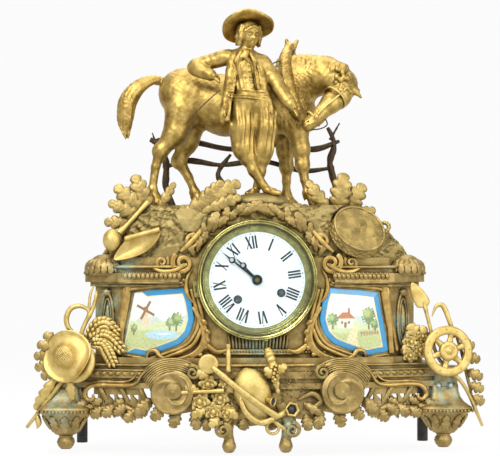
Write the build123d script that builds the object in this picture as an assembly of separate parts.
from build123d import *
import math
import os

# Figural mantel clock in millimetres: Z up, the dial faces -Y. The pieces are drawn about the
# clock's middle line and then moved back a little, so that the origin is on the table under
# the middle of the overall box.

# Overall
HALF_SPAN = 207.0
FRAME_SHIFT_Y = 5.44
HALF_DEPTH = 67.0
SEAT_GAP = 0.2
RUNNING_FIT = 0.05

# Case and base
WALL = 5.0
DIAL_Z = 152.0
CASE_FRONT_Y = -42.0
CASE_BACK_Y = 45.0
CASE_FLAT_HALF = 60.0
CASE_WING_HALF = 120.0
CASE_WING_Y = -28.0
CASE_HALF = 145.0
CASE_CORNER_Y = -10.0
CASE_FOOT_Z = 77.0
CORNICE_Z = 150.0
CAP_Z = 172.0
CORNICE_REACH = 9.0
FOOT_MOULD_REACH = 7.0
FOOT_MOULD_HEIGHT = 6.0
BASE_UNDER_Z = 56.0
BASE_FRONT_Y = -56.0
BASE_FLAT_HALF = 58.0
BASE_WING_HALF = 163.0
BASE_WING_Y = -26.0
BASE_BACK_Y = 49.0
BASE_TOP_PLATE = 4.0
BACK_PLATE_THICK = 3.0

# Feet
OUTER_FOOT_X = 171.0
OUTER_FOOT_Y = -16.0
CORNER_BLOCK_R = 13.0
REAR_FOOT_X = 160.0
REAR_FOOT_Y = 34.0
REAR_FOOT_R = 5.0
CENTRE_FOOT_X = 25.0
CENTRE_FOOT_Y = -52.0
BALL_FLAT_R = 3.0

# Rock mound
GROUND_Z = 220.0
ROCK_RISE = 8.0
MOUND_TOP_HALF = 94.0
MOUND_TOP_FRONT_Y = -36.0
MOUND_TOP_BACK_Y = 42.0

# Plaques
PLAQUE_THICK = 2.5
PLAQUE_SINK = 2.0
PLAQUE_CENTRE_X = 88.0
PLAQUE_CENTRE_Z = 115.0
PLAQUE_FIT = 0.2

# Movement, seen from the front with the dial centre as its own zero
TURN = 8.5
DRUM_INNER_R = 44.0
DRUM_OUTER_R = 50.0
DRUM_BACK = 0.0
FLANGE_R = 53.5
FLANGE_THICK = 4.0
PLATE_R = 40.0
PLATE_THICK = 2.0
FRONT_PLATE_BACK = 34.0
BACK_PLATE_FRONT = 4.0
PILLAR_R = 2.5
PILLAR_CIRCLE_R = 36.5
PILLAR_ANGLES = (48.0, 168.0, 255.0, 285.0)
BARREL_X = 19.5
BARREL_Y = -14.6
PIVOT_R = 0.8
ARBOR_R = 1.2

# Dial, ring and bezel
DIAL_R = 45.0
DIAL_BACK = 43.5
DIAL_THICK = 1.5
SIGHT_R = 42.7
BEZEL_INNER_R = 50.0
BEZEL_OUTER_R = 53.3
BEZEL_BACK = 46.3
BEZEL_FRONT = 54.0
GLASS_BACK = 50.3
GLASS_THICK = 1.2
HINGE_X = 55.7
KNUCKLE_R = 1.6
HINGE_PIN_R = 0.7
KNUCKLE_HALF = 3.0
KNUCKLE_END = 7.0
WINDING_HOLE_R = 4.8
GROMMET_INNER_R = 3.9
SQUARE_SIDE = 3.4
SQUARE_FRONT = 45.6
CENTRE_ARBOR_FRONT = 47.5
REGULATOR_R = 0.9
REGULATOR_CIRCLE_R = 47.0

# Hands: the dial reads eight minutes to eleven
MINUTE_LENGTH = 41.0
MINUTE_MOON_AT = 28.2
HOUR_LENGTH = 27.7
HOUR_MOON_AT = 17.6
MOON_R = 2.9
HAND_THICK = 0.6
MINUTE_HAND_BACK = 47.3
HOUR_HAND_BACK = 46.0
MINUTE_ANGLE = 43.3
HOUR_ANGLE = 35.6

# Wheel teeth
GREAT_TEETH = 72
GREAT_MODULE = 0.5
INTERMEDIATE_PINION = 12
INTERMEDIATE_TEETH = 60
CENTRE_PINION = 12
CENTRE_TEETH = 80
CENTRE_MODULE = 0.3
THIRD_PINION = 8
THIRD_TEETH = 90
THIRD_MODULE = 0.25
ESCAPE_PINION = 8
ESCAPE_TEETH = 48
ESCAPE_R = 7.5
PIN_WHEEL_PINION = 10
PIN_WHEEL_TEETH = 60
PIN_WHEEL_MODULE = 0.28
FLY_PINION = 8
CANNON_TEETH = 12
MINUTE_WHEEL_TEETH = 36
MINUTE_PINION_TEETH = 10
HOUR_WHEEL_TEETH = 40
MOTION_DISTANCE = 12.0

# Pendulum and bell
BEATS_PER_HOUR = 2 * ESCAPE_TEETH * CENTRE_TEETH / THIRD_PINION * THIRD_TEETH / ESCAPE_PINION
PENDULUM_LENGTH = 9810.0 * (3600.0 / BEATS_PER_HOUR / math.pi) ** 2
ANCHOR_RISE = 9.6
ROD_R = 0.9
ROD_LEVEL = -5.0
BOB_R = 15.0
BOB_THICK = 7.0
BELL_R = 28.0
BELL_WALL = 1.6
BELL_MOUTH = -12.0
BELL_DEPTH = 18.0
BELL_X = 6.0
BELL_Y = -4.0

# Figures, as heights over the flat ground of the mound
HORSE_Y = 18.0
HERDSMAN_Y = -24.0
FENCE_Y = 39.0
WIRE_R = 0.7


def fused(shapes):
    """One solid out of crossing solids, joined one after the other."""
    body = shapes[0]
    for piece in shapes[1:]:
        body = body.fuse(piece)
    return body


def chain(stations):
    """Round bar through stations (x, y, z, radius), a ball at each and a cone between."""
    pieces = []
    last = len(stations) - 1
    for i, (x, y, z, r) in enumerate(stations):
        along = Vector(*stations[min(i + 1, last)][:3]) - Vector(*stations[max(i - 1, 0)][:3])
        pieces.append(Solid.make_sphere(r * 1.015, Plane(origin=(x, y, z), z_dir=along)))
    for (x0, y0, z0, r0), (x1, y1, z1, r1) in zip(stations, stations[1:]):
        step = Vector(x1 - x0, y1 - y0, z1 - z0)
        seat = Plane(origin=(x0, y0, z0), z_dir=step)
        if abs(r0 - r1) < 0.01:
            pieces.append(Solid.make_cylinder(r0, step.length, seat))
        else:
            pieces.append(Solid.make_cone(r0, r1, step.length, seat))
    return pieces[0].fuse(*pieces[1:])


def trimmed(shape, neighbours):
    """The piece left standing after its neighbours are cut away, without loose crumbs."""
    return max((shape - neighbours).solids(), key=lambda solid: solid.volume)


def lifted(stations, x, y, z):
    """The same stations carried to another standing point."""
    return [(a + x, b + y, c + z, r) for a, b, c, r in stations]


def bar(points, radius):
    """Round bar of one radius through points."""
    return chain([(x, y, z, radius) for x, y, z in points])


def turned(profile, seat):
    """Solid turned from a (radius, height) outline about the seat plane's normal."""
    outline = make_face(Polyline(*[(r, 0, h) for r, h in profile], close=True))
    return seat * revolve(outline, Axis.Z)


def polygon(points):
    """Flat outline with its face up, whichever way round the points run."""
    points = list(points)
    area = sum(x0 * y1 - x1 * y0 for (x0, y0), (x1, y1) in zip(points, points[1:] + points[:1]))
    return Polygon(*(points if area > 0 else reversed(points)), align=None)


def slab(points, seat, thick):
    """Flat plate with straight edges, standing on the seat plane."""
    return seat * extrude(polygon(points), amount=thick)


def mirrored(points):
    """A right-hand outline and its left-hand mirror, joined to one ring of points."""
    return list(points) + [(-x, y) for x, y in reversed(points)]


def leaf(seat, length, half_width, lobes, thick):
    """Lobed leaf along the seat's x axis, widest in the middle."""
    count = 6 * lobes
    edge = []
    for i in range(1, count):
        t = i / count
        swell = math.sin(math.pi * t) ** 0.7
        edge.append((length * t, half_width * swell * (0.78 + 0.22 * math.cos(2 * math.pi * lobes * t))))
    outline = [(0, 0)] + edge + [(length, 0)] + [(x, -y) for x, y in reversed(edge)]
    return slab(outline, seat, thick)


def facing(x, y, z, angle, lean=0.0):
    """Plane seen from the front: its x axis at the angle from level, its normal to -Y."""
    a = math.radians(angle)
    b = math.radians(lean)
    normal = Vector(math.sin(b), -math.cos(b), 0)
    along = Vector(math.cos(a) * math.cos(b), math.cos(a) * math.sin(b), math.sin(a))
    return Plane(origin=(x, y, z), x_dir=along, z_dir=normal)


MOVEMENT = facing(0, 0, DIAL_Z, TURN)


def at(x, y, level):
    """Plane inside the movement at a point seen from the front, level counted towards the front."""
    return MOVEMENT * Plane(origin=(x, y, level)).location


def disc(radius, x, y, back, front):
    """Cylinder inside the movement between two levels."""
    return at(x, y, back) * Pos(0, 0, (front - back) / 2) * Cylinder(radius, front - back)


def ring(outer, inner, x, y, back, front):
    """Tube inside the movement between two levels."""
    return disc(outer, x, y, back, front) - disc(inner, x, y, back - 1, front + 1)


# Case

def case_plan(grow, back_y):
    """Plan of the case: flat front, canted wings, straight sides."""
    corners = [(CASE_FLAT_HALF, CASE_FRONT_Y), (CASE_WING_HALF, CASE_WING_Y), (CASE_HALF, CASE_CORNER_Y)]
    ring_points = [(CASE_HALF, back_y)] + list(reversed(corners))
    outline = polygon(mirrored(ring_points))
    return offset(outline, amount=grow, kind=Kind.INTERSECTION) if grow else outline


def layer(grow, low, high, back_y=CASE_BACK_Y):
    """One moulding of the case between two heights."""
    cut = Pos(0, CASE_BACK_Y + 50, (low + high) / 2) * Box(500, 100, high - low + 2)
    return Pos(0, 0, low) * extrude(case_plan(grow, back_y), amount=high - low) - cut


def plaque_seat(side):
    """Plane of a plaque's back, tangent to its wing of the case and sunk into it."""
    slope = (CASE_WING_Y - CASE_FRONT_Y) / (CASE_WING_HALF - CASE_FLAT_HALF)
    lean = math.degrees(math.atan(slope))
    y = CASE_FRONT_Y + (PLAQUE_CENTRE_X - CASE_FLAT_HALF) * slope
    seat = facing(side * PLAQUE_CENTRE_X, y, PLAQUE_CENTRE_Z, 0, side * lean)
    return seat * Plane(origin=(0, 0, -PLAQUE_SINK)).location


def plaque_outline(side, grow):
    """Shield-like outline with a bowed inner side."""
    top_out = (side * 22.0, 26.0)
    top_in = (side * -26.0, 30.0)
    belly = (side * -33.0, 2.0)
    low_in = (side * -20.0, -20.0)
    low = (side * 10.0, -31.0)
    low_out = (side * 32.0, -27.0)
    edges = Line(top_out, top_in) + ThreePointArc(top_in, belly, low_in) + Line(low_in, low)
    edges += Line(low, low_out) + Line(low_out, top_out)
    outline = make_face(edges)
    return offset(outline, amount=grow, kind=Kind.INTERSECTION) if grow else outline


def drum():
    """Sleeve behind the dial that carries the movement, with a slot for the regulator."""
    sleeve = ring(DRUM_OUTER_R, DRUM_INNER_R, 0, 0, DRUM_BACK, -CASE_FRONT_Y)
    sleeve += ring(FLANGE_R, DRUM_INNER_R, 0, 0, -CASE_FRONT_Y - FLANGE_THICK, -CASE_FRONT_Y)
    slot_width = 2 * REGULATOR_R + 2
    slot = at(0, REGULATOR_CIRCLE_R, DRUM_BACK) * Box(slot_width, 6.2, 4 * -CASE_FRONT_Y)
    return sleeve - slot


def case_front():
    body = layer(FOOT_MOULD_REACH, CASE_FOOT_Z, CASE_FOOT_Z + FOOT_MOULD_HEIGHT)
    body += layer(0, CASE_FOOT_Z, CAP_Z)
    body += layer(CORNICE_REACH / 2, CORNICE_Z - 4, CORNICE_Z)
    body += layer(CORNICE_REACH, CORNICE_Z, CORNICE_Z + 8)
    body += layer(CORNICE_REACH / 2, CORNICE_Z + 8, CORNICE_Z + 14)
    inside = layer(-WALL, CASE_FOOT_Z - 1, CAP_Z + 1, CASE_BACK_Y + 20)
    inside += Pos(0, CASE_BACK_Y, (CASE_FOOT_Z + CAP_Z) / 2) * Box(2 * (CASE_HALF - WALL), 10, CAP_Z)
    body -= inside
    body -= disc(DRUM_INNER_R + 1, 0, 0, -CASE_FRONT_Y - 2 * WALL, -CASE_FRONT_Y + 3 * CORNICE_REACH)
    bezel_room = 2 * (CASE_FLAT_HALF + CORNICE_REACH)
    body -= Pos(0, CASE_FRONT_Y - WALL * 2, CORNICE_Z) * Box(bezel_room, 4 * WALL, 2 * FLANGE_R)
    for side in (-1, 1):
        body -= plaque_seat(side) * extrude(plaque_outline(side, PLAQUE_FIT), amount=20, dir=(0, 0, 1))
    return body + drum()


def mound_block(inset):
    """Rock dome: its front outline, its side outline and the plan of the case in common."""
    top = GROUND_Z - inset
    side_half = CASE_HALF - 5 - inset
    low = CAP_Z - (1 if inset else 0)
    half = [(side_half, low), (side_half - 6, CAP_Z + 6), (MOUND_TOP_HALF + 24 - inset, CAP_Z + 26)]
    half += [(MOUND_TOP_HALF - inset + 8, top - 6), (MOUND_TOP_HALF - inset, top)]
    front = Plane.XZ * extrude(polygon(mirrored(half)), amount=HALF_DEPTH, both=True)
    back_y = CASE_BACK_Y + (10 if inset else 0)
    face_y = CASE_FRONT_Y + 1 + inset
    flank = [(face_y, low), (face_y + 1, top - 16), (MOUND_TOP_FRONT_Y + inset, top)]
    flank += [(MOUND_TOP_BACK_Y, top), (back_y, top - 8), (back_y, low)]
    side = Plane.YZ * extrude(polygon(flank), amount=HALF_SPAN, both=True)
    plan = Pos(0, 0, CAP_Z - 5) * extrude(case_plan(-inset if inset else 0, back_y), amount=GROUND_Z)
    return front & side & plan


def rock_mound():
    dome = mound_block(0) - mound_block(WALL)
    dome -= disc(DRUM_OUTER_R + SEAT_GAP, 0, 0, DRUM_BACK - 2, 60)
    dome -= disc(FLANGE_R + SEAT_GAP, 0, 0, -CASE_FRONT_Y - FLANGE_THICK - SEAT_GAP, 60)
    rock = [(-22, -14), (-10, -15), (18, -15), (34, -13), (36, -2), (30, 10), (-8, 12), (-24, 2)]
    step = Pos(0, HERDSMAN_Y + 2, GROUND_Z) * extrude(polygon(rock), amount=ROCK_RISE, taper=8)
    return dome + step


def case_back():
    low = CASE_FOOT_Z
    half = [(CASE_HALF - SEAT_GAP, low), (CASE_HALF - SEAT_GAP, CAP_Z), (MOUND_TOP_HALF + 24, CAP_Z + 26)]
    half += [(MOUND_TOP_HALF + 4, GROUND_Z - 12)]
    plate = extrude(Plane.XZ * polygon(mirrored(half)), amount=-BACK_PLATE_THICK)
    plate = Pos(0, CASE_BACK_Y, 0) * plate
    return plate - disc(DRUM_INNER_R, 0, 0, -HALF_DEPTH, 0)


def base_plan(grow):
    half = [(BASE_WING_HALF, BASE_BACK_Y), (BASE_WING_HALF, BASE_WING_Y)]
    half.append((BASE_FLAT_HALF + 36, BASE_FRONT_Y + 9))
    half += [(BASE_FLAT_HALF, BASE_FRONT_Y)]
    outline = polygon(mirrored(half))
    return offset(outline, amount=grow, kind=Kind.INTERSECTION) if grow else outline


def base_plinth():
    heights = [(BASE_UNDER_Z, 0.0), (BASE_UNDER_Z + 5, -3.0)]
    heights += [(BASE_UNDER_Z + 9, -1.0), (BASE_UNDER_Z + 15, -4.0)]
    tops = [z for z, _ in heights[1:]] + [CASE_FOOT_Z]
    body = None
    for (low, grow), high in zip(heights, tops):
        moulding = Pos(0, 0, low) * extrude(base_plan(grow), amount=high - low)
        body = moulding if body is None else body + moulding
    for x in (-OUTER_FOOT_X, OUTER_FOOT_X):
        body += Pos(x, OUTER_FOOT_Y, (BASE_UNDER_Z + CASE_FOOT_Z - 3) / 2) * Cylinder(
            CORNER_BLOCK_R, CASE_FOOT_Z - 3 - BASE_UNDER_Z)
    hollow_top = CASE_FOOT_Z - BASE_TOP_PLATE
    body -= extrude(base_plan(-2 * WALL), amount=hollow_top)
    return body - Pos(0, 6, CASE_FOOT_Z) * Box(150, 58, 4 * BASE_TOP_PLATE)


def apron_seat(side):
    """Plane of a wing of the base, for the leaf fringe hung under it."""
    run = BASE_WING_HALF - BASE_FLAT_HALF - 36
    rise = BASE_WING_Y - BASE_FRONT_Y - 9
    lean = math.degrees(math.atan2(rise, run))
    mid_x = (BASE_WING_HALF + BASE_FLAT_HALF + 36) / 2
    mid_y = (BASE_WING_Y + BASE_FRONT_Y + 9) / 2
    return facing(side * mid_x, mid_y + 4, BASE_UNDER_Z, 0, side * lean)


def leaf_aprons():
    fringes = []
    for side in (-1, 1):
        seat = apron_seat(side)
        strip = seat * Pos(-6 * side, -3, 0) * Box(46, 6, 3)
        for i in range(6):
            stem = Plane(origin=(-6 * side - 19 + 7.6 * i, -4, -1.5), x_dir=(0.35, -1, 0), z_dir=(0, 0, 1))
            length = 20 + 6 * math.sin(math.pi * (i + 0.5) / 6)
            strip += seat * leaf(stem, length, 3.8, 3, 3)
        fringes.append(strip)
    return fringes


def front_apron(base):
    half = [(0, 24), (16, 22), (32, 30), (46, 28), (58, 36), (70, 34), (88, 42), (95, 56), (54, 56), (0, 56)]
    outline = [(x, z - BASE_UNDER_Z) for x, z in half[:-1]]
    left = [(-x, z) for x, z in reversed(outline[1:])]
    seat = facing(0, BASE_FRONT_Y + 8, BASE_UNDER_Z, 0)
    plate = slab(outline + left, seat, 5)
    for side in (-1, 1):
        roundel = facing(side * 73, BASE_FRONT_Y + 3, BASE_UNDER_Z - 1, 0, side * 10)
        profile = [(0, 0), (18, 0), (18, 6), (14, 8), (12, 5), (9, 5), (7, 9), (0, 10)]
        plate += turned(profile, roundel)
    return trimmed(plate, [base])


def corner_feet():
    profile = [(0, 0), (BALL_FLAT_R, 0), (7, 3), (8, 8), (6, 13), (7, 15), (13, 22), (24, 32), (24, 37)]
    profile += [(14, 41), (11, 48), (12, BASE_UNDER_Z), (0, BASE_UNDER_Z)]
    return [turned(profile, Plane(origin=(x, OUTER_FOOT_Y, 0))) for x in (-OUTER_FOOT_X, OUTER_FOOT_X)]


def centre_feet(apron, base):
    feet = []
    cut = Pos(0, 0, -25) * Box(400, 200, 50)
    for side in (-1, 1):
        x = side * CENTRE_FOOT_X
        stations = [(x, CENTRE_FOOT_Y, 6, 6), (x, CENTRE_FOOT_Y, 14, 4), (x + side * 3, CENTRE_FOOT_Y, 23, 7)]
        stations += [(x + side * 2, CENTRE_FOOT_Y + 8, 36, 6), (x, CENTRE_FOOT_Y + 9, 58, 5)]
        feet.append(trimmed(chain(stations), [cut, apron, base]))
    return feet


def rear_feet():
    height = BASE_UNDER_Z / 2
    foot = Pos(0, REAR_FOOT_Y, height) * Cylinder(REAR_FOOT_R, BASE_UNDER_Z)
    return [Pos(x, 0, 0) * foot for x in (-REAR_FOOT_X, REAR_FOOT_X)]


# Ornaments in front of the case

def straw_hat(neighbours):
    seat = Plane(origin=(-168, -37, 84), x_dir=(1, 0, 0), z_dir=(-0.2, -0.95, 0.2))
    profile = [(0, 0), (22, 0), (23, 1.5), (13, 3.5), (11.5, 9), (7, 12), (0, 12)]
    body = turned(profile, seat)
    prop = bar([(-160, -36, 86), (-150, -20, 88)], 3)
    return trimmed(fused([body, prop]), neighbours)


def wheat_sheaf(neighbours):
    stalks = []
    for x, z, r in ((-141, 115, 3.2), (-131, 105, 3.4), (-122, 95, 3.4), (-128, 82, 3.2), (-140, 100, 3)):
        stalks.append(chain([(-152, -26, 88, 3.0), ((x - 150) / 2, -28, (z + 90) / 2, 2.2), (x, -29, z, r)]))
    stalks.append(bar([(-152, -26, 88), (-147, -14, 79)], 3.2))
    return trimmed(fused(stalks), neighbours)


def shepherd_crook(neighbours):
    tip = -HALF_SPAN + 1.7
    stick = bar([(tip, -24, 20), (-176, -31.5, 58), (-162, -31.5, 74), (-144, -31, 143)], 1.7)
    loop = Solid.make_torus(8.5, 2.2, Plane(origin=(-160, -31.5, 118), z_dir=(0, -1, 0)))
    return trimmed(fused([stick, loop]), neighbours)


def cart_wheel(neighbours):
    seat = Plane(origin=(172, -36, 88), x_dir=(1, 0, 0), z_dir=(0.15, -0.98, 0.1))
    rim = [(17, 0), (22, 0), (22.5, 4), (17.5, 4)]
    body = turned(rim, seat)
    body += turned([(0, -1), (8, -1), (8, 5), (5, 7), (0, 7)], seat)
    spokes = [seat * Rot(0, 0, 60 * i) * Pos(12.5, 0, 2) * Box(11, 2.6, 2.6) for i in range(6)]
    body += spokes
    prop = bar([(170, -35.5, 88), (150, -20, 90)], 3)
    return trimmed(fused([body, prop]), neighbours)


def garden_tools(neighbours):
    tip = HALF_SPAN - 1.7
    handle = bar([(tip, -24, 20), (187, -31.5, 57), (164, -31.5, 82), (152, -31, 130)], 1.7)
    blade = slab([(-6, -8), (6, -8), (7, 8), (0, 12), (-7, 8)], facing(149, -30, 138, 35), 2.5)
    hook = bar([(160, -31.5, 100), (163, -31, 118), (172, -30, 128), (177, -30, 112)], 1.5)
    brace = bar([(164, -31.5, 82), (160, -31.5, 100)], 1.7)
    return trimmed(fused([handle, blade, hook, brace]), neighbours)


def vine_leaves(neighbours):
    bunch = [chain([(154, -14, 82, 3), (143, -24, 96, 4.5), (140, -26, 106, 5)])]
    bunch.append(leaf(facing(146, -28, 98, 140), 18, 8, 3, 2.5))
    return trimmed(fused(bunch), neighbours)


def left_side_leaves(neighbours):
    sprays = []
    for x, z, angle in ((-178, 92, 145), (-180, 82, 175), (-178, 72, 205)):
        sprays.append(leaf(facing(x, -25, z, angle), 18, 6, 3, 2.5))
    sprays.append(bar([(-178, -26.3, 94), (-181, -26.3, 82), (-178, -26.3, 70)], 2))
    sprays.append(bar([(-181, -26.3, 82), (-176, -17, 70)], 2.5))
    return trimmed(fused(sprays), neighbours)


def right_side_leaves(neighbours):
    sprays = []
    for x, z, angle in ((192, 66, 20), (194, 56, -10), (196, 44, -20)):
        sprays.append(leaf(facing(x, -25, z, angle), 10, 6, 3, 2.5))
    sprays.append(bar([(193, -26.3, 68), (194, -26.3, 56), (197, -26.3, 42)], 2))
    sprays.append(bar([(194, -26.3, 58), (176, -18, 64)], 2.5))
    return trimmed(fused(sprays), neighbours)


def centre_gourd(neighbours):
    stations = [(12, -59, 38, 4), (4, -58, 52, 9), (-6, -57, 64, 12), (-2, -58, 76, 6), (9, -58, 88, 4)]
    return trimmed(chain(stations), neighbours)


def rustic_pipes(neighbours):
    pole = bar([(-26, -60, 95.5), (-26, -61, 72)], 2.2)
    ladle = turned([(0, 0), (8, 0), (9, 3), (8, 5), (0, 5)], facing(-44, -60, 78, 0))
    upper = [(-44, -62, 78, 2.2), (-26, -62, 70, 2.2), (-22, -62, 58, 2.2)]
    stem = chain(upper + [(2, -63, 36, 2.5), (26, -59, 36, 6)])
    flute = bar([(-72, -60, 53), (-44, -62, 53), (-24, -62, 58)], 2.0)
    ring_piece = Solid.make_torus(6, 2, Plane(origin=(13, -59, 24), z_dir=(0, -1, 0)))
    return trimmed(fused([pole, ladle, stem, flute, ring_piece]), neighbours)


def flower_bunch(neighbours):
    heads = [(-37, -58, 62, 7), (-46, -58, 46, 8), (-30, -58, 36, 8), (-34, -58, 48, 8)]
    return trimmed(fused([Solid.make_sphere(r, Plane(origin=(x, y, z))) for x, y, z, r in heads]), neighbours)


# Ornaments on the mound

def leaf_sprays(neighbours):
    left = [leaf(facing(-100, -14, 214, 110), 38, 9, 4, 3), leaf(facing(-102, -15.1, 212, 140), 34, 9, 4, 3)]
    left += [leaf(facing(-104, -12.9, 212, 185), 34, 8, 4, 3), leaf(facing(-98, -16.2, 214, 45), 38, 9, 4, 3)]
    right = [leaf(facing(84, -14, 214, 80), 36, 9, 4, 3), leaf(facing(88, -14, 212, 45), 34, 9, 4, 3)]
    right += [leaf(facing(90, -14, 212, 0), 26, 8, 4, 3)]
    left.append(Solid.make_sphere(6, Plane(origin=(-101.3, -15.6, 210.2))))
    right.append(Solid.make_sphere(6, Plane(origin=(88, -15.3, 211))))
    return [trimmed(fused(left), neighbours), trimmed(fused(right), neighbours)]


def ladle_and_scoop(neighbours):
    gourd = chain([(-129, -30, 189, 8.5), (-118, -27, 200, 5), (-97, -25, 222, 2.5)])
    seat = Plane(origin=(-108, -36, 184), x_dir=(1, 0, 0.3), z_dir=(-0.1, -1, 0.2))
    scoop = turned([(0, 0), (20, 4), (21, 6), (19, 6.5), (0, 3)], seat)
    scoop -= seat * Pos(0, 26, 0) * Box(60, 40, 40)
    prop = bar([(-108, -34, 180), (-104, -24, 184)], 4)
    dipper = trimmed(fused([gourd, bar([(-126, -30, 192), (-116, -22, 190)], 4)]), neighbours)
    return [dipper, trimmed(fused([scoop, prop]), neighbours + [dipper])]


def round_basket(neighbours):
    seat = Plane(origin=(94, -34, 195), x_dir=(1, 0, -0.1), z_dir=(0.25, -0.9, 0.35))
    dish = turned([(0, 0), (24, 0), (27, 6), (25, 6.5), (22, 3), (0, 3)], seat)
    handle = seat * Pos(24, 8, 8) * Torus(5, 1.2)
    prop = bar([(94, -34, 196), (92, -20, 200)], 6)
    return trimmed(fused([dish, handle, prop]), neighbours)


def fence(neighbours):
    upper = bar([(-96, FENCE_Y, 280), (-45, FENCE_Y, 278), (10, FENCE_Y, 276), (74, FENCE_Y, 282)], 2.6)
    lower = bar([(-84, FENCE_Y, 260), (-26, FENCE_Y, 263), (74, FENCE_Y, 254)], 2.4)
    left_post = bar([(-72, FENCE_Y, 214), (-84, FENCE_Y, 262), (-90, FENCE_Y, 284)], 3)
    right_post = bar([(73, FENCE_Y, 214), (74, FENCE_Y, 250), (73, FENCE_Y, 294)], 3)
    brace = bar([(-36, FENCE_Y, 214), (-26, FENCE_Y, 262)], 2.4)
    rails = fused([left_post, right_post, brace, upper, lower])
    return rails - neighbours


# Horse and herdsman

HORSE_BARREL = [(-62, 0, 104, 24), (-26, 0, 93, 29), (18, 0, 93, 28), (40, -6, 79, 18)]
HORSE_NECK = [(20, 0, 104, 27), (42, -8, 115, 22), (64, -20, 118, 18), (82, -30, 110, 14)]
HORSE_HEAD = [(82, -32, 106, 12), (68, -40, 92, 11), (55, -43, 79, 7.5), (47, -44, 72, 6.5)]
HORSE_EAR = [(86, -32, 106, 4), (95, -36, 98, 1.2)]
HORSE_LEGS = [
    [(-68, -10, 86, 17), (-74, -12, 64, 12), (-88, -14, 50, 7), (-92, -14, 34, 4.5),
    (-95, -14, 14, 4.5), (-89, -15, 2, 7)],
    [(-56, 10, 84, 16), (-62, 10, 60, 11), (-70, 10, 42, 6.5),
    (-60, 10, 28, 4.5), (-54, 10, 14, 4.5), (-50, 9, 2, 6.5)],
    [(40, -14, 68, 12), (43, -15, 52, 8.5), (44, -16, 38, 6), (46, -16, 24, 4.5),
    (49, -16, 12, 4.5), (56, -17, 2, 6.5)],
    [(29, 10, 68, 12), (30, 10, 52, 8.5), (31, 10, 38, 6), (31, 10, 24, 4.5),
    (31, 10, 12, 4.5), (34, 9, 2, 6.5)],
]
HORSE_TAIL = [(-80, 0, 112, 5), (-92, -2, 116, 7), (-106, -4, 111, 8.5),
              (-116, -6, 97, 8), (-119, -6, 80, 5), (-119, -6, 66, 1.5)]
COLLAR = [(33, -6, 150, 4), (30, -22, 128, 6), (34, -32, 106, 6), (40, -28, 84, 6), (44, -16, 76, 5)]
COLLAR_TIPS = [[(31, -5, 146, 3.5), (31, -6, 155, 2)], [(36, -4, 146, 3.5), (41, -4, 155, 2)]]
HERD_TORSO = [(-10, 0, 136, 9), (-11, 0, 124, 14), (-9, 0, 97, 12), (-4, 0, 86, 15)]
HERD_HEAD = [(-11, -1, 140, 5.5), (-8, -3, 155, 10)]
HERD_NEAR_ARM = [(-30, 2, 134, 7), (-56, 10, 125, 6.5), (-44, 0, 119, 5.5), (-35, -5, 113, 5)]
HERD_FAR_ARM = [(7, 0, 129, 7), (20, -4, 106, 6.5), (30, -11, 90, 5), (34, -14, 83, 4.5)]
HERD_LEGS = [
    [(-12, 0, 84, 12), (-13, -2, 64, 11), (-10, -3, 44, 8.5),
    (0, -6, 26, 6), (9, -7, 14, 4.5), (16, -10, 9, 4)],
    [(5, 0, 84, 12), (7, 0, 64, 11), (6, 1, 44, 8.5), (3, 3, 28, 6), (1, 5, 15, 4.5), (-2, 3, 10, 4)],
]
HERD_TAILS = [[(-22, 0, 106, 8), (-27, 0, 84, 7)], [(6, 2, 100, 8), (12, 2, 86, 6)]]


def ground_cut(height):
    """Everything below the standing surface."""
    return Pos(0, 0, height - 50) * Box(400, 200, 100)


def horse_body():
    groups = [HORSE_BARREL, HORSE_NECK, HORSE_HEAD, HORSE_EAR, HORSE_TAIL, COLLAR] + COLLAR_TIPS
    return fused([chain(lifted(s, 0, HORSE_Y, GROUND_Z)) for s in groups])


def horse_legs(body, mound):
    legs = []
    for stations in HORSE_LEGS:
        leg = chain(lifted(stations, 0, HORSE_Y, GROUND_Z)) - ground_cut(GROUND_Z)
        legs.append(leg - body - mound)
    return legs


def herdsman(neighbours):
    groups = [HERD_TORSO, HERD_HEAD, HERD_NEAR_ARM, HERD_FAR_ARM] + HERD_LEGS + HERD_TAILS
    groups.append([(-30, 2, 134, 7), (-10, 0, 130, 9), (7, 0, 129, 7)])
    parts = [chain(lifted(s, 0, HERDSMAN_Y, GROUND_Z)) for s in groups]
    return fused(parts) - neighbours - ground_cut(GROUND_Z + ROCK_RISE)


def herdsman_hat(figure):
    seat = Plane(origin=(-7, HERDSMAN_Y + 2, GROUND_Z + 160), x_dir=(1, 0, 0.1), z_dir=(-0.1, 0.5, 0.86))
    profile = [(0, 0), (22, -1), (24, 0), (22, 1.2), (11, 2), (9, 9), (5, 11), (0, 11)]
    return turned(profile, seat) - figure


def iron_wires(neighbours):
    whip = bar([(-32, -32, 329), (-44, -33, 316), (-58, -32, 302)], WIRE_R)
    rein = bar([(69, -27, 299), (69, -29, 294), (60, -29, 289), (53, -27, 287)], WIRE_R)
    bow = bar([(10, -24, 346), (22, -20, 357), (32, -2, 356)], WIRE_R)
    return [trimmed(piece, neighbours) for piece in (whip, rein, bow)]


# Movement

def gear_points(teeth, module, tooth_angle):
    """Clock-wheel outline; one tooth stands at the given angle in degrees."""
    pitch = 2 * math.pi / teeth
    radius = module * teeth / 2
    levels = [(radius - 1.25 * module, 0.23), (radius, 0.19)]
    levels += [(radius + 0.55 * module, 0.125), (radius + 0.85 * module, 0.04)]
    points = []
    for i in range(teeth):
        middle = math.radians(tooth_angle) + i * pitch
        flank = [(r, middle - w * pitch) for r, w in levels]
        flank += [(r, middle + w * pitch) for r, w in reversed(levels)]
        points += [(r * math.cos(a), r * math.sin(a)) for r, a in flank]
    return points


def gear(teeth, module, tooth_angle, x, y, back, front):
    return slab(gear_points(teeth, module, tooth_angle), at(x, y, back), front - back)


def heading(start, end):
    """Angle in degrees of the line from one arbor to another."""
    return math.degrees(math.atan2(end[1] - start[1], end[0] - start[0]))


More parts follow.
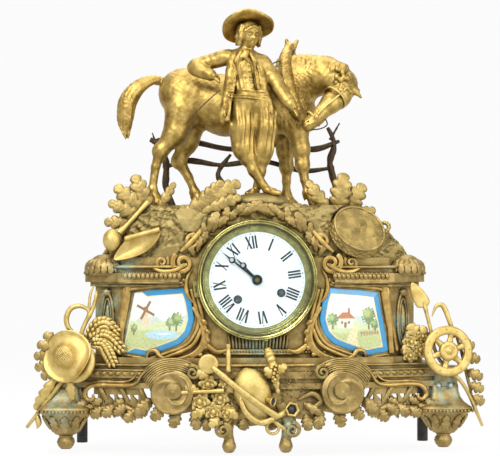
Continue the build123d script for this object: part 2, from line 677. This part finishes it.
def gap_towards(teeth, angle):
    """Tooth angle that leaves a gap looking along the given angle."""
    return angle + 180.0 / teeth


def meeting(first, reach_first, second, reach_second, side):
    """Point at two given distances from two arbors, left or right of the line between them."""
    dx, dy = second[0] - first[0], second[1] - first[1]
    span = math.hypot(dx, dy)
    along = (span ** 2 + reach_first ** 2 - reach_second ** 2) / (2 * span)
    off = side * math.sqrt(reach_first ** 2 - along ** 2)
    return (first[0] + (along * dx - off * dy) / span, first[1] + (along * dy + off * dx) / span)


def reach(wheel_teeth, pinion_teeth, module):
    """Distance between the arbors of a wheel and the pinion it drives."""
    return module * (wheel_teeth + pinion_teeth) / 2


CENTRE = (0.0, 0.0)
GOING = (BARREL_X, BARREL_Y)
STRIKE = (-BARREL_X, BARREL_Y)
GREAT_REACH = reach(GREAT_TEETH, INTERMEDIATE_PINION, GREAT_MODULE)
INTERMEDIATE_REACH = reach(INTERMEDIATE_TEETH, CENTRE_PINION, GREAT_MODULE)
INTERMEDIATE = meeting(GOING, GREAT_REACH, CENTRE, INTERMEDIATE_REACH, -1)
SECOND = (-INTERMEDIATE[0], INTERMEDIATE[1])
THIRD = (0.0, reach(CENTRE_TEETH, THIRD_PINION, CENTRE_MODULE))
ESCAPE = (0.0, THIRD[1] + reach(THIRD_TEETH, ESCAPE_PINION, THIRD_MODULE))
ANCHOR = (0.0, ESCAPE[1] + ANCHOR_RISE)
PIN_REACH = reach(INTERMEDIATE_TEETH, PIN_WHEEL_PINION, GREAT_MODULE)
PIN_BEARING = math.radians(95)
PIN_WHEEL = (SECOND[0] + PIN_REACH * math.cos(PIN_BEARING), SECOND[1] + PIN_REACH * math.sin(PIN_BEARING))
FLY_REACH = reach(PIN_WHEEL_TEETH, FLY_PINION, PIN_WHEEL_MODULE)
FLY_BEARING = math.radians(25)
FLY = (PIN_WHEEL[0] + FLY_REACH * math.cos(FLY_BEARING), PIN_WHEEL[1] + FLY_REACH * math.sin(FLY_BEARING))
HAMMER = (-33.5, 14.0)
MINUTE_WHEEL = (0.0, -MOTION_DISTANCE)
MOTION_MODULE = 2 * MOTION_DISTANCE / (CANNON_TEETH + MINUTE_WHEEL_TEETH)
HOUR_MODULE = 2 * MOTION_DISTANCE / (MINUTE_PINION_TEETH + HOUR_WHEEL_TEETH)
PLATE_PIVOTS = [INTERMEDIATE, SECOND, THIRD, ESCAPE, PIN_WHEEL, FLY]
FRONT_PLATE_FRONT = FRONT_PLATE_BACK + PLATE_THICK
BACK_PLATE_BACK = BACK_PLATE_FRONT - PLATE_THICK
BARREL_ARBOR_R = 2.5
BARREL_PIVOT_R = 2.0
CANNON_R = 2.0
HOUR_PIPE_R = 3.0
HAND_HUB_R = 4.6
MINUTE_POST_R = 1.0


def pillar_places():
    return [(PILLAR_CIRCLE_R * math.cos(math.radians(a)), PILLAR_CIRCLE_R * math.sin(math.radians(a)))
            for a in PILLAR_ANGLES]


def movement_plate(back, front, wide_holes):
    """Round plate with a hole for each pivot."""
    plate = disc(PLATE_R, 0, 0, back, front)
    holes = [(x, y, PIVOT_R + RUNNING_FIT) for x, y in PLATE_PIVOTS]
    holes += [(x, y, r + RUNNING_FIT) for (x, y), r in wide_holes]
    for x, y, r in holes:
        plate -= disc(r, x, y, back - 1, front + 1)
    return plate


def front_plate():
    wide = [(CENTRE, ARBOR_R), (GOING, BARREL_PIVOT_R), (STRIKE, BARREL_PIVOT_R)]
    wide += [(HAMMER, PIVOT_R), (ANCHOR, PIVOT_R)]
    plate = movement_plate(FRONT_PLATE_BACK, FRONT_PLATE_FRONT, wide)
    return plate + clicks() + disc(MINUTE_POST_R, *MINUTE_WHEEL, FRONT_PLATE_BACK, 41.6)


def back_plate():
    wide = [(CENTRE, PIVOT_R), (GOING, BARREL_PIVOT_R), (STRIKE, BARREL_PIVOT_R)]
    wide += [(HAMMER, ARBOR_R), (ANCHOR, ARBOR_R)]
    wide += [(SECOND, ARBOR_R)]
    plate = movement_plate(BACK_PLATE_BACK, BACK_PLATE_FRONT, wide)
    return plate + plate_pillars() + bell_stand()


def plate_pillars():
    posts = []
    for x, y in pillar_places():
        posts.append(disc(PILLAR_R, x, y, BACK_PLATE_FRONT, FRONT_PLATE_BACK))
    return posts


def arbor(place, back=BACK_PLATE_BACK, front=FRONT_PLATE_FRONT):
    """Round arbor with thinner pivots that turn in the plates."""
    x, y = place
    inner = disc(ARBOR_R, x, y, BACK_PLATE_FRONT + 0.4, FRONT_PLATE_BACK - 0.4)
    return inner + disc(PIVOT_R, x, y, back, front)


def wheel_on(place, teeth, module, tooth_angle, back, front, rim):
    """Crossed-out wheel: toothed rim, three arms and a hub around the arbor."""
    x, y = place
    blank = gear(teeth, module, tooth_angle, x, y, back, front)
    root = module * teeth / 2 - 1.25 * module
    if root - rim > 5:
        window = disc(root - rim, x, y, back - 1, front + 1)
        arms = disc(3.0, x, y, back - 1, front + 1)
        for i in range(3):
            arms += at(x, y, (back + front) / 2) * Rot(0, 0, 120 * i) * Pos(root / 2, 0, 0) * Box(
                root, 1.8, front - back + 2)
        blank -= window - arms
    return blank


def barrel(place, turn_angle):
    x, y = place
    great = wheel_on(place, GREAT_TEETH, GREAT_MODULE, turn_angle, 31, 33, 99)
    hole = disc(BARREL_ARBOR_R + RUNNING_FIT, x, y, 0, 40)
    drum_wall = ring(16.5, 15.3, x, y, 18, 31)
    lid = disc(16.5, x, y, 17, 18)
    return great + drum_wall + lid - hole


def mainspring(place):
    """Flat coil between the arbor and the barrel wall."""
    turns = 7
    steps = 16 * turns
    inner, outer, thick = 5.0, 14.6, 0.5
    coil = [(inner + (outer - inner) * i / steps, 2 * math.pi * i / 16) for i in range(steps + 1)]
    edge_in = [(r * math.cos(a), r * math.sin(a)) for r, a in coil]
    edge_out = [((r + thick) * math.cos(a), (r + thick) * math.sin(a)) for r, a in reversed(coil)]
    return slab(edge_in + edge_out, at(*place, 18.5), 12)


def winding_arbor(place):
    x, y = place
    stem = disc(BARREL_ARBOR_R, x, y, BACK_PLATE_FRONT + 0.4, FRONT_PLATE_BACK - 0.4)
    stem += disc(BARREL_PIVOT_R, x, y, BACK_PLATE_BACK, 42)
    stem += gear(24, 0.5, 0, x, y, FRONT_PLATE_FRONT + 0.5, FRONT_PLATE_FRONT + 2)
    square = at(x, y, (41 + SQUARE_FRONT) / 2) * Box(SQUARE_SIDE, SQUARE_SIDE, SQUARE_FRONT - 41)
    return stem + square


def clicks():
    pawls = []
    for side, (x, y) in ((1, GOING), (-1, STRIKE)):
        seat = at(x + side * 6.9, y - 3, FRONT_PLATE_FRONT)
        outline = [(0, -4), (side * 4, -6), (side * 5.5, -2), (side * 2, 4), (0, 3)]
        pawls.append(slab(outline, seat, 1.6))
    return pawls


def intermediate_wheel():
    x, y = INTERMEDIATE
    bearing = heading(INTERMEDIATE, CENTRE)
    wheel = wheel_on(INTERMEDIATE, INTERMEDIATE_TEETH, GREAT_MODULE, bearing, 12.5, 14, 2.5)
    leaf_angle = gap_towards(INTERMEDIATE_PINION, heading(INTERMEDIATE, GOING))
    pinion = gear(INTERMEDIATE_PINION, GREAT_MODULE, leaf_angle, x, y, 30.5, 33.4)
    return wheel + pinion + arbor(INTERMEDIATE)


def centre_wheel():
    wheel = wheel_on(CENTRE, CENTRE_TEETH, CENTRE_MODULE, heading(CENTRE, THIRD), 7.8, 9, 2)
    leaf_angle = gap_towards(CENTRE_PINION, heading(CENTRE, INTERMEDIATE))
    pinion = gear(CENTRE_PINION, GREAT_MODULE, leaf_angle, 0, 0, 12, 14.5)
    spindle = disc(ARBOR_R, 0, 0, BACK_PLATE_FRONT + 0.4, CENTRE_ARBOR_FRONT)
    return wheel + pinion + spindle + disc(PIVOT_R, 0, 0, BACK_PLATE_BACK, BACK_PLATE_FRONT + 1)


def third_wheel():
    x, y = THIRD
    wheel = wheel_on(THIRD, THIRD_TEETH, THIRD_MODULE, heading(THIRD, ESCAPE), 23, 24, 2)
    leaf_angle = gap_towards(THIRD_PINION, heading(THIRD, CENTRE))
    return wheel + gear(THIRD_PINION, CENTRE_MODULE, leaf_angle, x, y, 7.2, 9.6) + slim_arbor(THIRD)


def slim_arbor(place):
    """Thin arbor for the small pinions."""
    return disc(PIVOT_R, *place, BACK_PLATE_BACK, FRONT_PLATE_FRONT)


def escape_wheel():
    x, y = ESCAPE
    pitch = 2 * math.pi / ESCAPE_TEETH
    points = []
    for i in range(ESCAPE_TEETH):
        points += [(ESCAPE_R * math.cos(i * pitch), ESCAPE_R * math.sin(i * pitch))]
        root = ESCAPE_R - 0.9
        points += [(root * math.cos((i + 0.25) * pitch), root * math.sin((i + 0.25) * pitch))]
    wheel = slab(points, at(x, y, 28), 0.8)
    leaf_angle = gap_towards(ESCAPE_PINION, heading(ESCAPE, THIRD))
    return wheel + gear(ESCAPE_PINION, THIRD_MODULE, leaf_angle, x, y, 22.4, 24.6) + slim_arbor(ESCAPE)


def pivot_point():
    """Suspension point in the clock's own frame."""
    t = math.radians(TURN)
    return (-ANCHOR[1] * math.sin(t), DIAL_Z + ANCHOR[1] * math.cos(t))


def anchor_and_crutch():
    x, y = ANCHOR
    arm = [(8.3, -5.3), (7.3, -5.7), (4.5, -1.2), (0, -0.4)]
    outline = arm + [(-x, z) for x, z in reversed(arm[:-1])] + [(-5.8, 0.5), (0, 2.2), (5.8, 0.5)]
    pallets = slab(outline, at(x, y, 27.9), 1.0)
    stem = disc(ARBOR_R, x, y, -3, FRONT_PLATE_BACK - 0.4) + disc(PIVOT_R, x, y, 0, FRONT_PLATE_FRONT)
    px, pz = pivot_point()
    crutch = Pos(px, 1.9, pz - 14) * Box(2, 1.2, 30)
    fork = Pos(px, 4.2, pz - 28) * (Box(5.4, 5.8, 2) - Pos(0, 1.6, 0) * Box(2 * ROD_R + 0.8, 5, 3))
    return pallets + stem + crutch + fork


def pendulum_rod():
    px, pz = pivot_point()
    top = pz - 1.0
    length = PENDULUM_LENGTH - BOB_R - 1
    rod = Pos(px, -ROD_LEVEL, top - length / 2) * Cylinder(ROD_R, length)
    return rod


def suspension_spring():
    px, pz = pivot_point()
    return Pos(px, -ROD_LEVEL, pz + 1.5) * Box(3, 0.3, 5)


def pendulum_bob():
    px, pz = pivot_point()
    seat = Plane(origin=(px, -ROD_LEVEL, pz - PENDULUM_LENGTH), x_dir=(1, 0, 0), z_dir=(0, -1, 0))
    half = BOB_THICK / 2
    profile = [(0, -half), (6, -half), (BOB_R, -0.8), (BOB_R, 0.8), (6, half), (0, half)]
    return turned(profile, seat)


def suspension_cock():
    """Bracket on the back plate that holds the spring and the regulator's rear end."""
    px, pz = pivot_point()
    bracket = at(0, ANCHOR[1] + 3.6, -3) * Box(10, 7, 10) - at(0, ANCHOR[1] + 1, -4) * Box(5, 8, 14)
    clamp = Pos(px, -ROD_LEVEL, pz + 6.3) * Box(6, 5, 4)
    low, high = ANCHOR[1] + 5.4, REGULATOR_CIRCLE_R + 2
    post = at(0, (low + high) / 2, -6.5) * Box(6, high - low, 3)
    hole = disc(REGULATOR_R + RUNNING_FIT, 0, REGULATOR_CIRCLE_R, -12, 6)
    return bracket + clamp + post - hole


def regulator_arbor():
    shaft = disc(REGULATOR_R, 0, REGULATOR_CIRCLE_R, -9, 45)
    return shaft + at(0, REGULATOR_CIRCLE_R, 45.6) * Box(1.1, 1.1, 1.6)


def second_wheel():
    x, y = SECOND
    wheel = wheel_on(SECOND, INTERMEDIATE_TEETH, GREAT_MODULE, heading(SECOND, PIN_WHEEL), 15, 16.2, 2.5)
    leaf_angle = gap_towards(INTERMEDIATE_PINION, heading(SECOND, STRIKE))
    pinion = gear(INTERMEDIATE_PINION, GREAT_MODULE, leaf_angle, x, y, 30.5, 33.4)
    count = disc(13, x, y, 0.2, 1.4)
    for i in range(12):
        a = math.radians(360 * (i + 1) * (i + 2) / 2 / 90)
        notch = at(x + 13 * math.cos(a), y + 13 * math.sin(a), 0.8)
        count -= notch * Rot(0, 0, math.degrees(a)) * Box(3, 1.0, 3)
    stem = disc(ARBOR_R, x, y, 0.2, FRONT_PLATE_BACK - 0.4) + disc(PIVOT_R, x, y, 20, FRONT_PLATE_FRONT)
    return wheel + pinion + count + stem


def pin_wheel():
    x, y = PIN_WHEEL
    wheel = wheel_on(PIN_WHEEL, PIN_WHEEL_TEETH, PIN_WHEEL_MODULE, heading(PIN_WHEEL, FLY), 20, 21.2, 2)
    leaf_angle = gap_towards(PIN_WHEEL_PINION, heading(PIN_WHEEL, SECOND))
    body = wheel + gear(PIN_WHEEL_PINION, GREAT_MODULE, leaf_angle, x, y, 14.4, 16.8)
    for i in range(8):
        a = math.radians(45 * i)
        body += disc(0.5, x + 6.6 * math.cos(a), y + 6.6 * math.sin(a), 21, 24)
    return body + arbor(PIN_WHEEL)


def fly():
    x, y = FLY
    leaf_angle = gap_towards(FLY_PINION, heading(FLY, PIN_WHEEL))
    vane = at(x, y, 11) * Box(8, 0.8, 8)
    return gear(FLY_PINION, PIN_WHEEL_MODULE, leaf_angle, x, y, 19.6, 21.6) + vane + slim_arbor(FLY)


def hammer():
    x, y = HAMMER
    stem = disc(ARBOR_R, x, y, -20, FRONT_PLATE_BACK - 0.4) + disc(PIVOT_R, x, y, 20, FRONT_PLATE_FRONT)
    head_x = BELL_X - BELL_R - 3.4
    arm = at((x + head_x) / 2, (y + BELL_Y) / 2, -18) * Rot(0, 0, heading(HAMMER, (head_x, BELL_Y))) * Box(
        math.dist(HAMMER, (head_x, BELL_Y)), 2, 2.4)
    head = at(head_x, BELL_Y, -18) * Rot(0, 90, 0) * Cylinder(3, 6)
    return stem + arm + head


def bell():
    seat = MOVEMENT * Plane(origin=(BELL_X, BELL_Y, BELL_MOUTH), z_dir=(0, 0, -1)).location
    d, w = BELL_DEPTH, BELL_WALL
    profile = [(BELL_R - w, 0), (BELL_R, 0), (BELL_R - 1, d * 0.5), (BELL_R * 0.72, d * 0.9), (10, d)]
    profile += [(PILLAR_R, d), (PILLAR_R, d - w), (10, d - w)]
    profile += [(BELL_R * 0.7 - w, d * 0.85), (BELL_R - 1.4 * w, d * 0.45)]
    return turned(profile, Plane(seat))


def bell_stand():
    post = disc(PILLAR_R, BELL_X, BELL_Y, BELL_MOUTH - BELL_DEPTH, BACK_PLATE_BACK)
    return post + disc(5, BELL_X, BELL_Y, BELL_MOUTH - BELL_DEPTH - 3, BELL_MOUTH - BELL_DEPTH)


def dial():
    plate = disc(DIAL_R, 0, 0, DIAL_BACK, DIAL_BACK + DIAL_THICK) - disc(HOUR_PIPE_R + 1, 0, 0, 40, 50)
    for x, y in (GOING, STRIKE):
        plate += disc(WINDING_HOLE_R, x, y, DIAL_BACK, DIAL_BACK + DIAL_THICK + 0.5)
        plate -= disc(GROMMET_INNER_R, x, y, 40, 50)
    return plate


def knuckle(seat, low, high):
    """Hinge barrel along the seat's y axis between two heights."""
    return seat * Pos(0, (low + high) / 2, 0) * Rot(90, 0, 0) * Cylinder(KNUCKLE_R, high - low)


def hinge_bore(seat, radius):
    return seat * Rot(90, 0, 0) * Cylinder(radius, 3 * KNUCKLE_END)


def front_hinge():
    return at(-HINGE_X, 0, BEZEL_BACK)


def dial_ring():
    face = -CASE_FRONT_Y
    front = DIAL_BACK + DIAL_THICK
    outline = [(DIAL_R - 1.2, face), (FLANGE_R - 0.5, face), (FLANGE_R - 0.5, face + 2.5)]
    outline += [(BEZEL_INNER_R - 0.5, face + 2.5), (BEZEL_INNER_R - 0.5, face + 3.6)]
    outline += [(BEZEL_INNER_R - 3, face + 4.2), (SIGHT_R, face + 3.4), (SIGHT_R, front)]
    outline += [(DIAL_R + PLAQUE_FIT, front), (DIAL_R + PLAQUE_FIT, DIAL_BACK), (DIAL_R - 1.2, DIAL_BACK)]
    body = turned(outline, MOVEMENT)
    for a in (20, 160, 270):
        x, y = 38 * math.cos(math.radians(a)), 38 * math.sin(math.radians(a))
        foot = disc(1.5, x, y, FRONT_PLATE_FRONT, face + 1.4)
        body += foot + at(x * 1.09, y * 1.09, face + 0.7) * Rot(0, 0, a) * Box(9, 3, 1.4)
    body -= disc(REGULATOR_R + RUNNING_FIT, 0, REGULATOR_CIRCLE_R, 40, 50)
    seat = front_hinge()
    lug = seat * Pos(2, 0, -2.1) * Box(4, 2 * KNUCKLE_HALF - 0.6, 2 * KNUCKLE_R + 1)
    body += lug + knuckle(seat, -KNUCKLE_HALF + 0.3, KNUCKLE_HALF - 0.3)
    return body + hinge_pin(seat)


def bezel_ring():
    lip = GLASS_BACK + GLASS_THICK
    outline = [(BEZEL_INNER_R + 1.3, BEZEL_BACK), (BEZEL_OUTER_R, BEZEL_BACK)]
    outline += [(BEZEL_OUTER_R, lip), (BEZEL_OUTER_R - 1.2, BEZEL_FRONT)]
    outline += [(BEZEL_INNER_R, BEZEL_FRONT - 1), (BEZEL_INNER_R, lip), (BEZEL_INNER_R + 1.3, lip)]
    body = turned(outline, MOVEMENT)
    seat = front_hinge()
    for low, high in ((KNUCKLE_HALF, KNUCKLE_END), (-KNUCKLE_END, -KNUCKLE_HALF)):
        body += knuckle(seat, low, high)
        body += seat * Pos(1.8, (low + high) / 2, 1) * Box(3.6, high - low, 1.6)
    pull = at(BEZEL_OUTER_R - 0.6, 0, (BEZEL_BACK + lip) / 2) * Box(2.4, 5, 3)
    return body + pull - hinge_bore(seat, HINGE_PIN_R + RUNNING_FIT)


def bezel_glass():
    return disc(BEZEL_INNER_R + 1.3, 0, 0, GLASS_BACK, GLASS_BACK + GLASS_THICK)


def hinge_pin(seat):
    return seat * Rot(90, 0, 0) * Cylinder(HINGE_PIN_R, 2 * KNUCKLE_END)


REAR_FACE = -(CASE_BACK_Y + BACK_PLATE_THICK)
REAR_DOOR_R = 47.0
REAR_FLANGE = 2.0


def rear_hinge():
    return at(-REAR_DOOR_R - 3.2, 0, REAR_FACE - REAR_FLANGE - 0.6)


def rear_ring():
    sleeve = ring(DRUM_INNER_R - SEAT_GAP, DRUM_INNER_R - 2.2, 0, 0, REAR_FACE, REAR_FACE + 6)
    flange = ring(REAR_DOOR_R + 1, DRUM_INNER_R - 2.2, 0, 0, REAR_FACE - REAR_FLANGE, REAR_FACE)
    seat = rear_hinge()
    lug = seat * Pos(0.6, 0, 1.3) * Box(3.4, 2 * KNUCKLE_HALF - 0.6, 2.6)
    body = sleeve + flange + lug + knuckle(seat, -KNUCKLE_HALF + 0.3, KNUCKLE_HALF - 0.3)
    return body + hinge_pin(seat)


def rear_door():
    back = REAR_FACE - REAR_FLANGE - 0.3
    outline = [(0, back - 3), (36, back - 3), (40, back - 1.5), (REAR_DOOR_R, back - 1.5)]
    outline += [(REAR_DOOR_R, back), (38, back), (35, back - 1.6), (0, back - 1.6)]
    body = turned(outline, MOVEMENT)
    seat = rear_hinge()
    for low, high in ((KNUCKLE_HALF, KNUCKLE_END), (-KNUCKLE_END, -KNUCKLE_HALF)):
        body += knuckle(seat, low, high)
        body += seat * Pos(2.6, (low + high) / 2, -0.6) * Box(5.2, high - low, 1.2)
    knob = disc(3, 40, 0, back - 8, back - 1)
    return body + knob - hinge_bore(seat, HINGE_PIN_R + RUNNING_FIT)


def case_straps():
    straps = []
    low = REAR_FACE + 6
    high = -CASE_FRONT_Y
    for angle in (0, 180):
        seat = at(0, 0, (low + high) / 2) * Rot(0, 0, angle)
        strap = seat * Pos(PLATE_R + 2.2, 0, 0) * Box(1.4, 8, high - low)
        straps.append(strap)
    return straps


def hand(length, moon_at, angle, back, hub_hole):
    """Moon hand: slender pointer, a pierced disc and a round hub."""
    seat = at(0, 0, back) * Rot(0, 0, angle) * Location((0, 0, 0))
    neck = moon_at - MOON_R + 0.6
    shaft = [(-1.0, 0), (-0.7, neck), (0.7, neck), (1.0, 0)]
    tip = [(-0.9, moon_at + MOON_R - 0.4), (0, length), (0.9, moon_at + MOON_R - 0.4)]
    body = seat * extrude(polygon(shaft) + polygon(tip), amount=HAND_THICK)
    moon = Pos(0, moon_at) * (Circle(MOON_R) - Pos(0, 0.5) * Circle(MOON_R - 1.2))
    body += seat * extrude(moon, amount=HAND_THICK)
    body += disc(HAND_HUB_R, 0, 0, back, back + HAND_THICK)
    return body - disc(hub_hole, 0, 0, back - 1, back + 2)


def minute_hand():
    return hand(MINUTE_LENGTH, MINUTE_MOON_AT, MINUTE_ANGLE, MINUTE_HAND_BACK, CANNON_R)


def hour_hand():
    return hand(HOUR_LENGTH, HOUR_MOON_AT, HOUR_ANGLE, HOUR_HAND_BACK, HOUR_PIPE_R)


def cannon_pinion():
    leaf_angle = gap_towards(CANNON_TEETH, heading(CENTRE, MINUTE_WHEEL))
    body = gear(CANNON_TEETH, MOTION_MODULE, leaf_angle, 0, 0, 36.5, 38.4)
    body += disc(CANNON_R, 0, 0, 36.5, MINUTE_HAND_BACK + HAND_THICK + 0.6)
    return body - disc(ARBOR_R + RUNNING_FIT, 0, 0, 30, 60)


def hour_wheel():
    leaf_angle = gap_towards(HOUR_WHEEL_TEETH, heading(CENTRE, MINUTE_WHEEL))
    body = gear(HOUR_WHEEL_TEETH, HOUR_MODULE, leaf_angle, 0, 0, 39, 40.4)
    body += disc(HOUR_PIPE_R, 0, 0, 39, HOUR_HAND_BACK + HAND_THICK)
    return body - disc(CANNON_R + RUNNING_FIT, 0, 0, 30, 60)


def minute_wheel():
    x, y = MINUTE_WHEEL
    towards = heading(MINUTE_WHEEL, CENTRE)
    body = gear(MINUTE_WHEEL_TEETH, MOTION_MODULE, towards, x, y, 36.9, 38.1)
    body += gear(MINUTE_PINION_TEETH, HOUR_MODULE, towards, x, y, 38, 40.9)
    return body - disc(MINUTE_POST_R + RUNNING_FIT, x, y, 30, 60)


def save(name, shape):
    """One file per named piece; a list is a group of separate solids."""
    solids = shape if isinstance(shape, list) else [shape]
    pieces = [Pos(0, FRAME_SHIFT_Y, 0) * piece for piece in solids]
    export_step(Compound(children=pieces) if len(pieces) > 1 else pieces[0], f"parts/{name}.step")


def main():
    os.makedirs("parts", exist_ok=True)
    front = case_front()
    mound = rock_mound()
    base = base_plinth()
    apron = front_apron(base)
    feet = corner_feet()
    horse = horse_body()
    legs = horse_legs(horse, mound)
    herd = herdsman([horse, mound] + legs)
    shell = [front, base] + feet
    hat = straw_hat(shell)
    crook = shepherd_crook(shell + [hat])
    wheat = wheat_sheaf(shell + [hat, crook])
    wheel = cart_wheel(shell)
    tools = garden_tools(shell + [wheel])
    vine = vine_leaves(shell + [wheel, tools])
    gourd = centre_gourd([apron, base])
    pipes = rustic_pipes([apron, base, gourd])
    centre_foot_pair = centre_feet(apron, base)
    flowers = flower_bunch([apron, base, gourd, pipes] + centre_foot_pair)
    nodes = {
        "case_front": front, "rock_mound": mound, "case_back": case_back(), "base_plinth": base,
        "base_aprons": [apron] + leaf_aprons(), "corner_feet": feet,
        "centre_feet": centre_foot_pair, "rear_feet": rear_feet(),
        "straw_hat": hat, "shepherd_crook": crook, "wheat_sheaf": wheat, "cart_wheel": wheel,
        "garden_tools": tools, "centre_gourd": gourd, "rustic_pipes": pipes,
        "flower_bunch": flowers,
        "side_leaves": [vine, left_side_leaves(shell + [hat, crook, wheat]),
                        right_side_leaves(shell + [wheel, tools, vine])],
        "leaf_sprays": leaf_sprays([mound, front] + legs),
        "ladle_and_scoop": ladle_and_scoop([mound, front]),
        "round_basket": round_basket([mound, front]), "fence": fence([mound, horse] + legs),
        "horse_body": horse, "horse_legs": legs,
        "herdsman": herd, "herdsman_hat": herdsman_hat(herd), "iron_wires": iron_wires([horse, herd]),
        "plaque_left": plaque_seat(-1) * extrude(plaque_outline(-1, 0), amount=PLAQUE_THICK, dir=(0, 0, 1)),
        "plaque_right": plaque_seat(1) * extrude(plaque_outline(1, 0), amount=PLAQUE_THICK, dir=(0, 0, 1)),
        "front_plate": front_plate(), "back_plate": back_plate(), "dial": dial(),
        "dial_ring": dial_ring(), "bezel_ring": bezel_ring(), "bezel_glass": bezel_glass(),
        "rear_ring": rear_ring(), "rear_door": rear_door(),
        "case_straps": case_straps(), "bell": bell(),
        "suspension_cock": suspension_cock(), "regulator_arbor": regulator_arbor(),
        "minute_hand": minute_hand(), "cannon_pinion": cannon_pinion(), "hour_hand": hour_hand(),
        "hour_wheel": hour_wheel(), "minute_wheel": minute_wheel(),
        "going_barrel": [barrel(GOING, heading(GOING, INTERMEDIATE)), mainspring(GOING)],
        "strike_barrel": [barrel(STRIKE, heading(STRIKE, SECOND)), mainspring(STRIKE)],
        "going_winding_arbor": winding_arbor(GOING), "strike_winding_arbor": winding_arbor(STRIKE),
        "intermediate_wheel": intermediate_wheel(), "centre_wheel": centre_wheel(),
        "third_wheel": third_wheel(), "escape_wheel": escape_wheel(),
        "anchor_and_crutch": anchor_and_crutch(),
        "pendulum_rod": [pendulum_rod(), suspension_spring()], "pendulum_bob": pendulum_bob(),
        "strike_second_wheel": second_wheel(), "pin_wheel": pin_wheel(), "fly": fly(), "hammer": hammer(),
    }
    for name, shape in nodes.items():
        save(name, shape)


main()
